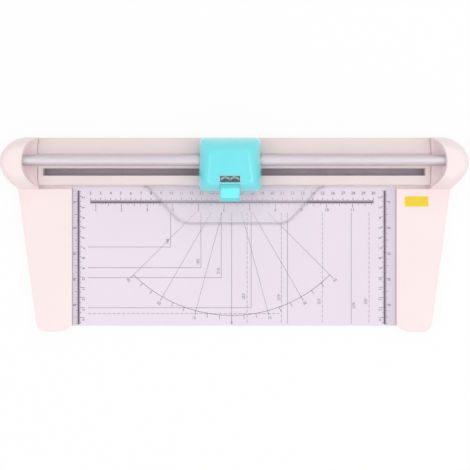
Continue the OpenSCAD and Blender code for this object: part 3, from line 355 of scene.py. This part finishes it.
def makeSoftShading(look):
    group = bpy.data.node_groups.new("softShading", "GeometryNodeTree")
    group.interface.new_socket("Geometry", in_out="INPUT", socket_type="NodeSocketGeometry")
    group.interface.new_socket("Geometry", in_out="OUTPUT", socket_type="NodeSocketGeometry")
    start = group.nodes.new("NodeGroupInput")
    weld = group.nodes.new("GeometryNodeMergeByDistance")
    weld.inputs["Distance"].default_value = look["weld"] * mm
    angle = group.nodes.new("GeometryNodeInputMeshEdgeAngle")
    low = group.nodes.new("FunctionNodeCompare")
    low.data_type = "FLOAT"
    low.operation = "LESS_EQUAL"
    low.inputs[1].default_value = math.radians(look["angle"])
    faces = group.nodes.new("GeometryNodeSetShadeSmooth")
    faces.domain = "FACE"
    edges = group.nodes.new("GeometryNodeSetShadeSmooth")
    edges.domain = "EDGE"
    end = group.nodes.new("NodeGroupOutput")
    group.links.new(start.outputs[0], weld.inputs[0])
    group.links.new(weld.outputs[0], faces.inputs[0])
    group.links.new(faces.outputs[0], edges.inputs[0])
    group.links.new(angle.outputs["Unsigned Angle"], low.inputs[0])
    group.links.new(low.outputs[0], edges.inputs["Shade Smooth"])
    group.links.new(edges.outputs[0], end.inputs[0])
    return group


softShading = makeSoftShading(shading)
for solid in nodes.values():
    split = solid.data.attributes.get("custom_normal")
    if split:
        solid.data.attributes.remove(split)
    solid.modifiers.new("softShading", "NODES").node_group = softShading

# Small radii on the moulded edges, in millimetres, where faces meet at more than an angle
edgeRadii = {
    "left_wing": 0.6, "right_wing": 0.6, "clamp_beam": 0.5, "base_tray": 0.4, "release_tab": 1.2,
    "clear_plate": 0.3, "window_plate": 0.25, "board_panel": 0.2,
}
edgeLook = {"segments": 3, "angle": 30}


def roundEdges(radii, look):
    for node, radius in radii.items():
        bevel = nodes[node].modifiers.new("softEdge", "BEVEL")
        bevel.width = radius * mm
        bevel.segments = look["segments"]
        bevel.limit_method = "ANGLE"
        bevel.angle_limit = math.radians(look["angle"])
        bevel.use_clamp_overlap = True
        bevel.harden_normals = False


roundEdges(edgeRadii, edgeLook)
for solid in nodes.values():
    weigh = solid.modifiers.new("evenShading", "WEIGHTED_NORMAL")
    weigh.keep_sharp = True

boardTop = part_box("board_panel")[1].z / mm


def addPiece(name, mesh, body, finish):
    mesh.materials.append(materials[finish])
    piece = bpy.data.objects.new(name, mesh)
    bpy.context.scene.collection.objects.link(piece)
    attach(piece, body)
    return piece


def barMesh(name, bars, level):
    # each bar: from x, y to x, y and its width, as a flat strip at one level
    corners, faces = [], []
    for x1, y1, x2, y2, width in bars:
        along = Vector((x2 - x1, y2 - y1))
        side = Vector((-along.y, along.x)).normalized() * width / 2
        start = len(corners)
        for x, y in ((x1 - side.x, y1 - side.y), (x2 - side.x, y2 - side.y),
                     (x2 + side.x, y2 + side.y), (x1 + side.x, y1 + side.y)):
            corners.append((x * mm, y * mm, level * mm))
        faces.append((start, start + 1, start + 2, start + 3))
    mesh = bpy.data.meshes.new(name)
    mesh.from_pydata(corners, [], faces)
    return mesh


def dashed(x1, y1, x2, y2, width, dash, gap):
    length = math.hypot(x2 - x1, y2 - y1)
    ux, uy = (x2 - x1) / length, (y2 - y1) / length
    bars, at = [], 0
    while at < length:
        end = min(at + dash, length)
        bars.append((x1 + ux * at, y1 + uy * at, x1 + ux * end, y1 + uy * end, width))
        at += dash + gap
    return bars


figureSteps = 3  # steps of each curve in a figure


def numberShape(text, size):
    curve = bpy.data.curves.new("figure", "FONT")
    curve.body = text
    curve.size = size * mm
    curve.align_x = "CENTER"
    curve.align_y = "CENTER"
    curve.resolution_u = figureSteps
    holder = bpy.data.objects.new("figure", curve)
    bpy.context.scene.collection.objects.link(holder)
    bpy.context.view_layer.update()
    final = holder.evaluated_get(bpy.context.evaluated_depsgraph_get())
    shape = bpy.data.meshes.new_from_object(final)
    bpy.data.objects.remove(holder)
    bpy.data.curves.remove(curve)
    return shape


def numberMesh(name, marks, level):
    # each mark: text, x, y, height of the type, turn in degrees
    joined = bmesh.new()
    cache = {}
    for text, x, y, size, turn in marks:
        if (text, size) not in cache:
            cache[(text, size)] = numberShape(text, size)
        shape = cache[(text, size)].copy()
        place = Matrix.Translation((x * mm, y * mm, level * mm))
        shape.transform(place @ Matrix.Rotation(math.radians(turn), 4, "Z"))
        joined.from_mesh(shape)
        bpy.data.meshes.remove(shape)
    mesh = bpy.data.meshes.new(name)
    joined.to_mesh(mesh)
    joined.free()
    for shape in cache.values():
        bpy.data.meshes.remove(shape)
    return mesh


# The rulers, from the photo's own scale. Places on the board are in millimetres. Ticks are
# listed as how many steps lie between them and how long they are, the longest first
sixteenth = 25.4 / 16
rulers = {
    "cmZeroX": -162.3, "inchZeroX": -162.4, "lineY": 32.1, "lineWidth": 1.15, "firstCm": 2, "lastCm": 30,
    "cmTicks": ((10, 4.4), (5, 3.2), (1, 2.2)), "inchTicks": ((16, 5.4), (8, 3.6), (4, 2.8), (1, 1.9)),
    "numberY": 41.0, "numberSize": 4.2, "inchNumberY": 24.4, "tickWidth": 0.5, "mostTicks": 200,
    "sideX": (-154.1, 149.1), "sideTop": 43.8, "sideBottom": -88.9,
    "sideNumberSize": 4.0, "sideNumberDrop": 1.2,
    "stripWidth": (6.0, 11.0), "stripAbove": 2, "stripBelow": 0.9,
}
# The side rulers carry centimetres inwards and inches outwards
sideScales = (
    {"zero": 58.0, "step": 1, "whole": 10, "way": -1,
     "ticks": ((10, 3.4), (5, 2.6), (1, 1.8)), "numberAt": 4.7},
    {"zero": 58.2, "step": sixteenth, "whole": 16, "way": 1,
     "ticks": ((16, 5.4), (8, 3.4), (4, 2.6), (1, 1.8)), "numberAt": 4.2},
)


def tickLength(tick, ticks):
    return next(length for every, length in ticks if tick % every == 0)


def sideRuler(side, x, scale, look):
    fine, numbers = [], []
    out = side * scale["way"]
    for tick in range(look["mostTicks"]):
        y = scale["zero"] - scale["step"] * tick
        if not look["sideBottom"] <= y <= look["sideTop"]:
            continue
        fine.append((x, y, x + out * tickLength(tick, scale["ticks"]), y, look["tickWidth"]))
        if tick % scale["whole"] == 0:
            numbers.append((str(tick // scale["whole"]), x + out * scale["numberAt"],
                            y - look["sideNumberDrop"], look["sideNumberSize"], -90))
    return fine, numbers


def rulerPieces(look):
    heavy, fine, numbers = [], [], []
    x1 = look["cmZeroX"] + 10 * look["firstCm"]
    x2 = look["cmZeroX"] + 10 * look["lastCm"]
    y = look["lineY"]
    heavy.append((x1, y, x2, y, look["lineWidth"]))
    for tick in range(10 * look["firstCm"], 10 * look["lastCm"] + 1):
        x = look["cmZeroX"] + tick
        fine.append((x, y, x, y + tickLength(tick, look["cmTicks"]), look["tickWidth"]))
        if tick % 10 == 0:
            numbers.append((str(tick // 10), x, look["numberY"], look["numberSize"], 0))
    for tick in range(look["mostTicks"]):
        x = look["inchZeroX"] + sixteenth * tick
        if not x1 <= x <= x2:
            continue
        fine.append((x, y, x, y - tickLength(tick, look["inchTicks"]), look["tickWidth"]))
        if tick % 16 == 0:
            numbers.append((str(tick // 16), x, look["inchNumberY"], look["numberSize"], 0))
    for side, x in zip((-1, 1), look["sideX"]):
        heavy.append((x, look["sideTop"], x, look["sideBottom"], look["lineWidth"]))
        for scale in sideScales:
            more, figures = sideRuler(side, x, scale, look)
            fine += more
            numbers += figures
    return heavy, fine, numbers


def stripBars(look):
    bars = []
    for side, x, width in zip((-1, 1), look["sideX"], look["stripWidth"]):
        middle = x + side * width / 2
        bars.append((middle, look["sideTop"] + look["stripAbove"],
                     middle, look["sideBottom"] - look["stripBelow"], width))
    return bars


# Angle scale and the outlines of the usual paper sizes, in millimetres and degrees
guides = {
    "centre": (-2.4, 57.4), "radius": 137.3, "reach": 45, "rayStart": 35.2, "lineWidth": 0.34,
    "rayWidth": 0.28, "tick": 4.4, "tickWidth": 0.45, "numberOut": 7.4, "numberSize": 4.0,
    "arcSteps": 90, "tickEvery": 5, "rayEvery": 15, "dash": 3.4, "gap": 1.4,
    # depth of the line below the ruler and where it turns up, both on the board
    "sheets": [(-12.2, -63.0), (-32.6, -32.9), (-42.5, -12.8), (-72.3, 16.8)],
    "sheetStart": -144.8, "sheetTop": 22.0,
    "dashedSheet": (-78.1, 45.0), "dashedX": [46.8, 12.8, 87.2, 133.5], "solidX": [-2.5, 52.8, 115.9],
    "bottom": -88.0,
    "marks": [("148", -65.8, -7), ("182", -35.7, -27), ("210", -15.6, -36), ("257", 9.5, -61),
              ("279", 44.5, -62), ("257", 84.1, -66), ("279", 118.6, -70), ("297", 130.4, -66)],
}


def anglePieces(look):
    lines, numbers = [], []
    cx, cy = look["centre"]

    def at(reach, angle):
        return cx + reach * math.sin(angle), cy - reach * math.cos(angle)

    steps, half, arc = look["arcSteps"], look["reach"], look["radius"]
    for i in range(steps):
        a, b = (math.radians(-half + 2 * half * k / steps) for k in (i, i + 1))
        lines.append((*at(arc, a), *at(arc, b), look["tickWidth"]))
    for angle in range(-half, half + 1, look["tickEvery"]):
        a = math.radians(angle)
        lines.append((*at(arc, a), *at(arc + look["tick"], a), look["tickWidth"]))
        if angle % look["rayEvery"]:
            continue
        if angle:
            lines.append((*at(look["rayStart"] / math.cos(a), a), *at(arc, a), look["rayWidth"]))
        numbers.append((str(abs(angle)), *at(arc + look["numberOut"], a), look["numberSize"], angle))
    return lines, numbers


def guidePieces(look):
    lines, numbers = anglePieces(look)
    width, start, top, bottom = look["lineWidth"], look["sheetStart"], look["sheetTop"], look["bottom"]
    for depth, turn in look["sheets"]:
        lines.append((start, depth, turn, depth, width))
        lines.append((turn, depth, turn, top, width))
    depth, turn = look["dashedSheet"]
    lines += dashed(start, depth, turn, depth, width, look["dash"], look["gap"])
    for x in look["dashedX"]:
        lines += dashed(x, top, x, bottom, width, look["dash"], look["gap"])
    for x in look["solidX"]:
        lines.append((x, top, x, bottom, width))
    numbers += [(text, x, y, look["numberSize"], 90) for text, x, y in look["marks"]]
    return lines, numbers


# How far each print stands above the board, so that none shares a plane with another
printRise = {"strips": 0.015, "ticks": 0.03, "guides": 0.035, "ink": 0.04}
stripLevel, tickLevel, guideLevel, inkLevel = (boardTop + rise for rise in printRise.values())
heavyBars, fineBars, rulerNumbers = rulerPieces(rulers)
guideBars, guideNumbers = guidePieces(guides)
addPiece("rulerStrips", barMesh("rulerStrips", stripBars(rulers), stripLevel), "base", "rulerStrip")
addPiece("rulerLines", barMesh("rulerLines", heavyBars, inkLevel), "base", "printInk")
addPiece("rulerTicks", barMesh("rulerTicks", fineBars, tickLevel), "base", "fineInk")
addPiece("rulerNumbers", numberMesh("rulerNumbers", rulerNumbers, inkLevel), "base", "printInk")
addPiece("guideLines", barMesh("guideLines", guideBars, guideLevel), "base", "fineInk")
addPiece("guideNumbers", numberMesh("guideNumbers", guideNumbers, inkLevel), "base", "fineInk")
print("paper trimmer: board print")

# Rounded rim round the clear plate's free edge, swept along the solid's own outline
plateRim = {"inside": 0.7, "outside": 1.7, "over": 0.1, "sides": 10, "hub": 8}


def plateOutline(hub):
    # the solid's corners in front of the beam, sorted by their angle round a place ahead of it
    solid = nodes["clear_plate"].data
    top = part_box("clear_plate")[1].z
    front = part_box("clamp_beam")[0].y
    hair = 0.01 * mm
    places = {(round(v.co.x / mm, 3), round(v.co.y / mm, 3)) for v in solid.vertices
              if v.co.z > top - hair and v.co.y < front - hair}
    return sorted(places, key=lambda place: math.atan2(place[1] - front / mm - hub, place[0]))


def roundMesh(name, corners, faces):
    # the four-sided faces run round the wire or rim and are smooth, its ends stay flat
    mesh = bpy.data.meshes.new(name)
    mesh.from_pydata(corners, [], faces)
    for face in mesh.polygons:
        face.use_smooth = len(face.vertices) == 4
    return mesh


def plateRimMesh(look):
    outline = plateOutline(look["hub"])
    low, high = (corner.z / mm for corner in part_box("clear_plate"))
    halfWidth = (look["inside"] + look["outside"]) / 2
    halfHeight = (high - low) / 2 + look["over"]
    corners, faces = [], []
    sides = look["sides"]
    for i, (x, y) in enumerate(outline):
        before = Vector(outline[max(i - 1, 0)])
        after = Vector(outline[min(i + 1, len(outline) - 1)])
        along = (after - before).normalized()
        outward = Vector((along.y, -along.x))
        for k in range(sides):
            a = math.tau * k / sides
            reach = (look["outside"] - look["inside"]) / 2 + halfWidth * math.cos(a)
            corners.append(((x + outward.x * reach) * mm, (y + outward.y * reach) * mm,
                            ((low + high) / 2 + halfHeight * math.sin(a)) * mm))
            if i:
                n, m = sides * i + k, sides * i + (k + 1) % sides
                faces.append((n - sides, n, m, m - sides))
    faces.append(tuple(range(sides)))
    faces.append(tuple(reversed(range(len(corners) - sides, len(corners)))))
    return roundMesh("plateRim", corners, faces)


# the rim's grey is painted shade for the dark edge of the clear plate
addPiece("plateRim", plateRimMesh(plateRim), "clamp", "shadedClearRim")

# Wire springs, wound to the solids' sizes
springs = {
    "leftClampSpring": {"node": "left_clamp_spring", "body": "base", "joint": "clamp_press",
                        "wire": 0.9, "turns": 2},
    "rightClampSpring": {"node": "right_clamp_spring", "body": "base", "joint": "clamp_press",
                         "wire": 0.9, "turns": 2},
    "liftSprings": {"node": "lift_springs", "body": "runner", "joint": "head_press",
                    "wire": 0.5, "turns": 4},
}
wireSteps = {"round": 24, "sides": 8}  # steps in each turn, and sides of the wire


def springMesh(name, look):
    steps, sides = wireSteps["round"], wireSteps["sides"]
    low, high = (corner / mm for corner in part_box(look["node"]))
    outer = high.y - low.y
    middle = (low.y + high.y) / 2
    centres = sorted({round(low.x + outer / 2, 3), round(high.x - outer / 2, 3)})
    half = look["wire"] / 2
    corners, faces = [], []
    count = look["turns"] * steps
    for centre in centres:
        start = len(corners)
        for i in range(count + 1):
            a = math.tau * i / steps
            level = low.z + half + (high.z - low.z - look["wire"]) * i / count
            for k in range(sides):
                b = math.tau * k / sides
                r = outer / 2 - half + half * math.cos(b)
                corners.append(((centre + r * math.cos(a)) * mm, (middle + r * math.sin(a)) * mm,
                                (level + half * math.sin(b)) * mm))
                if i:
                    n, m = start + sides * i + k, start + sides * i + (k + 1) % sides
                    faces.append((n - sides, m - sides, m, n))
        faces.append(tuple(reversed(range(start, start + sides))))
        faces.append(tuple(range(len(corners) - sides, len(corners))))
    return roundMesh(name, corners, faces)


for name, look in springs.items():
    spring = addPiece(name, springMesh(name, look), look["body"], "groundSteel")
    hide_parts(look["node"])
    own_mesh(spring)
print("paper trimmer: plate rim and springs")

# Blank yellow sticker on the right wing
sticker = {"x": (168.4, 191.6), "y": (27.7, 37.8), "corner": 0.8, "cornerSteps": 4, "thick": 0.12}


def roundedOutline(x1, y1, x2, y2, corner, inset, steps):
    outline = []
    r = corner - inset
    for cx, cy, start in ((x2 - corner, y2 - corner, 0), (x1 + corner, y2 - corner, 90),
                          (x1 + corner, y1 + corner, 180), (x2 - corner, y1 + corner, 270)):
        for i in range(steps + 1):
            a = math.radians(start + 90 * i / steps)
            outline.append((cx + r * math.cos(a), cy + r * math.sin(a)))
    return outline


def stickerMesh(look, level):
    x1, x2 = look["x"]
    y1, y2 = look["y"]
    outline = roundedOutline(x1, y1, x2, y2, look["corner"], 0, look["cornerSteps"])
    n = len(outline)
    corners = [(x * mm, y * mm, level * mm) for x, y in outline]
    corners += [(x * mm, y * mm, (level + look["thick"]) * mm) for x, y in outline]
    faces = [tuple(range(n, 2 * n))] + [(i, (i + 1) % n, n + (i + 1) % n, n + i) for i in range(n)]
    mesh = bpy.data.meshes.new("wingSticker")
    mesh.from_pydata(corners, [], faces)
    return mesh


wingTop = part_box("right_wing")[1].z / mm
addPiece("wingSticker", stickerMesh(sticker, wingTop), "base", "labelYellow")

# Wavy line in the window: a silver band of two humps
waveSign = {"humps": 2, "margin": 1.4, "rise": 2.3, "width": 1.9, "low": 0.42, "power": 0.8,
            "steps": 40, "above": 0.05}


def waveMesh(look):
    low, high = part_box("window_plate")
    left, right = low.x / mm + look["margin"], high.x / mm - look["margin"]
    base = low.y / mm + look["low"] * (high.y - low.y) / mm
    level = high.z / mm + look["above"]
    points = []
    steps = look["steps"]
    for i in range(steps + 1):
        t = i / steps
        wave = abs(math.sin(math.pi * look["humps"] * t)) ** look["power"]
        points.append((left + (right - left) * t, base + look["rise"] * wave))
    bars = [(*points[i], *points[i + 1], look["width"]) for i in range(steps)]
    return barMesh("waveSign", bars, level)


addPiece("waveSign", waveMesh(waveSign), "cover", "signSilver")

# Pale rim round the window, with a small clip at either end; their pale colour is a painted highlight of the
# light on the frame's bevel
windowFrame = {"rim": 0.45, "clip": 1.1, "clipDepth": 3.2, "clipForward": 0.6, "clipSunk": 0.5,
               "thick": 0.18, "sunk": 0.1}


def boxesMesh(name, boxes):
    corners, faces = [], []
    sides = ((3, 2, 1, 0), (4, 5, 6, 7), (0, 1, 5, 4), (1, 2, 6, 5), (2, 3, 7, 6), (3, 0, 4, 7))
    for x1, y1, x2, y2, z1, z2 in boxes:
        faces += [tuple(len(corners) + i for i in side) for side in sides]
        corners += [(x * mm, y * mm, z * mm) for z in (z1, z2)
                    for x, y in ((x1, y1), (x2, y1), (x2, y2), (x1, y2))]
    mesh = bpy.data.meshes.new(name)
    mesh.from_pydata(corners, [], faces)
    return mesh


def windowFrameMesh(look):
    low, high = (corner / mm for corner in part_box("window_plate"))
    z1, z2 = high.z - look["sunk"], high.z + look["thick"]
    z3 = z2 - look["clipSunk"]
    rim, clip = look["rim"], look["clip"]
    middle = (low.y + high.y) / 2 - look["clipForward"]
    y1, y2 = middle - look["clipDepth"] / 2, middle + look["clipDepth"] / 2
    return boxesMesh("windowFrame", [
        (low.x, low.y, low.x + rim, high.y, z1, z2),
        (high.x - rim, low.y, high.x, high.y, z1, z2),
        (low.x + rim, low.y, high.x - rim, low.y + rim, z1, z2),
        (low.x + rim, high.y - rim, high.x - rim, high.y, z1, z2),
        (low.x - clip, y1, low.x, y2, z3, z2),
        (high.x, y1, high.x + clip, y2, z3, z2),
    ])


addPiece("windowFrame", windowFrameMesh(windowFrame), "cover", "paintedFrameHighlight")

# Raised thumb pad on the lever, with round corners and a soft edge, along the lever's slope; its lighter
# turquoise is a painted highlight of the lit face.
# Its rings go from the foot to the top: how far each is drawn in, and its share of the height
thumbPad = {
    "rearShare": 0.30, "frontShare": 0.83, "side": 0.5, "corner": 1.6, "cornerSteps": 6, "thick": 0.5,
    "rings": ((0, -0.1), (0, 0.55), (0.12, 0.85), (0.35, 1.0)), "topDrop": 3.1,
}


def leverTop(drop):
    # the lever's top face, read from the solid: the highest corner at each place along it
    ridge = {}
    for corner in nodes["release_tab"].data.vertices:
        place, level = round(corner.co.y / mm, 2), round(corner.co.z / mm, 2)
        ridge[place] = max(level, ridge.get(place, level))
    return [(place, level) for place, level in sorted(ridge.items()) if level > max(ridge.values()) - drop]


def levelAt(y, line):
    for (y1, z1), (y2, z2) in zip(line, line[1:]):
        if y1 <= y <= y2:
            return z1 + (z2 - z1) * (y - y1) / (y2 - y1)
    return line[-1][1] if y > line[-1][0] else line[0][1]


def thumbPadMesh(look):
    low, high = (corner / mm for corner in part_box("release_tab"))
    depth = high.y - low.y
    front = high.y - look["frontShare"] * depth
    rear = high.y - look["rearShare"] * depth
    left, right = low.x + look["side"], high.x - look["side"]
    top = leverTop(look["topDrop"])
    corners = []
    for inset, share in look["rings"]:
        ring = roundedOutline(left, front, right, rear, look["corner"], inset, look["cornerSteps"])
        corners += [(x * mm, y * mm, (levelAt(y, top) + share * look["thick"]) * mm) for x, y in ring]
    n, total = len(ring), len(corners)
    faces = [(k + i, k + (i + 1) % n, k + n + (i + 1) % n, k + n + i)
             for k in range(0, total - n, n) for i in range(n)]
    faces.append(tuple(range(total - n, total)))
    faces.append(tuple(reversed(range(n))))
    mesh = bpy.data.meshes.new("thumbPad")
    mesh.from_pydata(corners, [], faces)
    return mesh


addPiece("thumbPad", thumbPadMesh(thumbPad), "tab", "litTurquoisePad")
print("paper trimmer: sticker, window and thumb pad")
